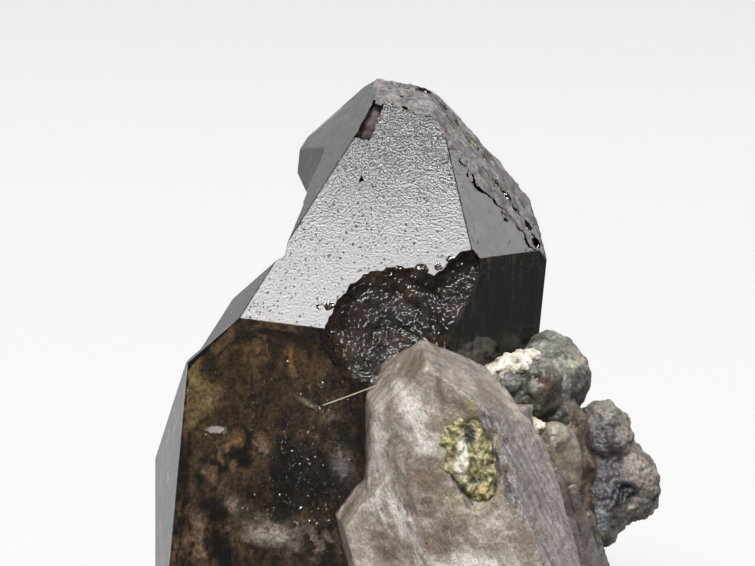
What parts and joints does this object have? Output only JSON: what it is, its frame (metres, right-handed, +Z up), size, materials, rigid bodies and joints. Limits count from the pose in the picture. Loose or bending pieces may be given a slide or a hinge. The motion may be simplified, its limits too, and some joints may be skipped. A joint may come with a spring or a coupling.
{
  "type": "lightning quartz crystal",
  "caption": "Dark smoky quartz point with a stepped shoulder and a broken corner, grown together with a paler weathered side crystal and small rough lumps, cut flat underneath.",
  "frame": {"origin": "on the flat cut that the group stands on, under the middle of the group, 8 mm to the right of the foot of the main crystal's prism axis", "axes": "+Z up, -Y the side with the large bright tip face and the side crystal, +X to the right seen from that side, where the small lumps are"},
  "size_m": [0.067, 0.0523, 0.0835],
  "materials": {
    "quartz": "glossy faces with pits, rough and milky on the side crystal"
  },
  "bodies": {
    "root": {"lightning_quartz_crystal": "quartz"}
  },
  "joints": []
}
